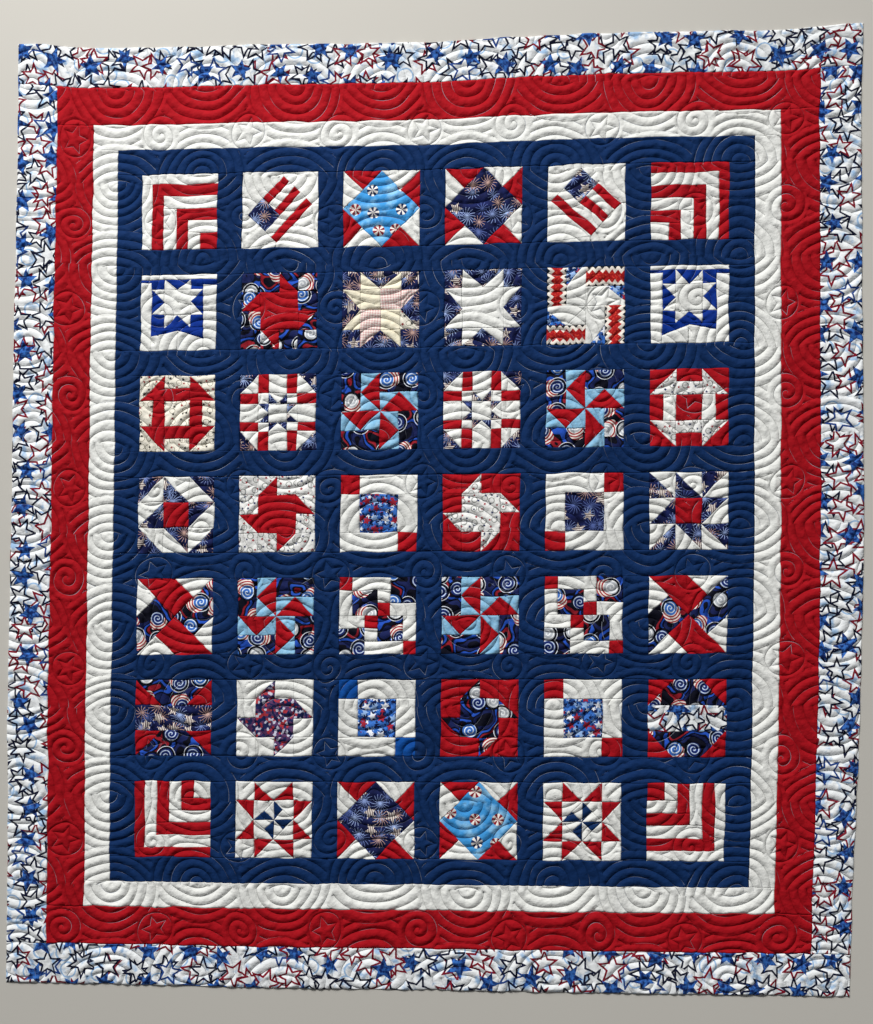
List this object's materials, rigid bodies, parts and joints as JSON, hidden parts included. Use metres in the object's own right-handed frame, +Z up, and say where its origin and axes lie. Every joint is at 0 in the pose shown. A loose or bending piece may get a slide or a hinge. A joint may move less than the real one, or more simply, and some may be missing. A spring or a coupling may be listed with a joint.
{
  "type": "star sampler quilt",
  "caption": "Pieced and quilted cotton blanket lying flat: rows of star and patchwork blocks in navy sashing with white, red and star-print borders.",
  "frame": {"origin": "on the floor under the middle of the quilt's bounding box", "axes": "+X to the right across the quilt, +Y towards its top edge, +Z up out of its face"},
  "size_m": [1.7162, 1.904, 0.0072],
  "materials": {
    "navy_cotton": "matt woven cotton, quilted",
    "red_cotton": "matt woven cotton, quilted",
    "white_cotton": "matt woven cotton, quilted",
    "star_print_cotton": "matt printed cotton, quilted",
    "patchwork_cotton": "matt cotton patchwork, quilted"
  },
  "bodies": {
    "root": {"sashing_1": "navy_cotton", "sashing_2": "navy_cotton", "sashing_3": "navy_cotton", "sashing_4": "navy_cotton", "sashing_5": "navy_cotton", "sashing_6": "navy_cotton", "sashing_7": "navy_cotton", "sashing_8": "navy_cotton", "block_row_1": "patchwork_cotton", "block_row_2": "patchwork_cotton", "block_row_3": "patchwork_cotton", "block_row_4": "patchwork_cotton", "block_row_5": "patchwork_cotton", "block_row_6": "patchwork_cotton", "block_row_7": "patchwork_cotton", "white_border_left": "white_cotton", "white_border_right": "white_cotton", "white_border_top": "white_cotton", "white_border_bottom": "white_cotton", "red_border_left": "red_cotton", "red_border_right": "red_cotton", "red_border_top": "red_cotton", "red_border_bottom": "red_cotton", "star_border_left": "star_print_cotton", "star_border_right": "star_print_cotton", "star_border_top": "star_print_cotton", "star_border_bottom": "star_print_cotton"}
  },
  "joints": []
}
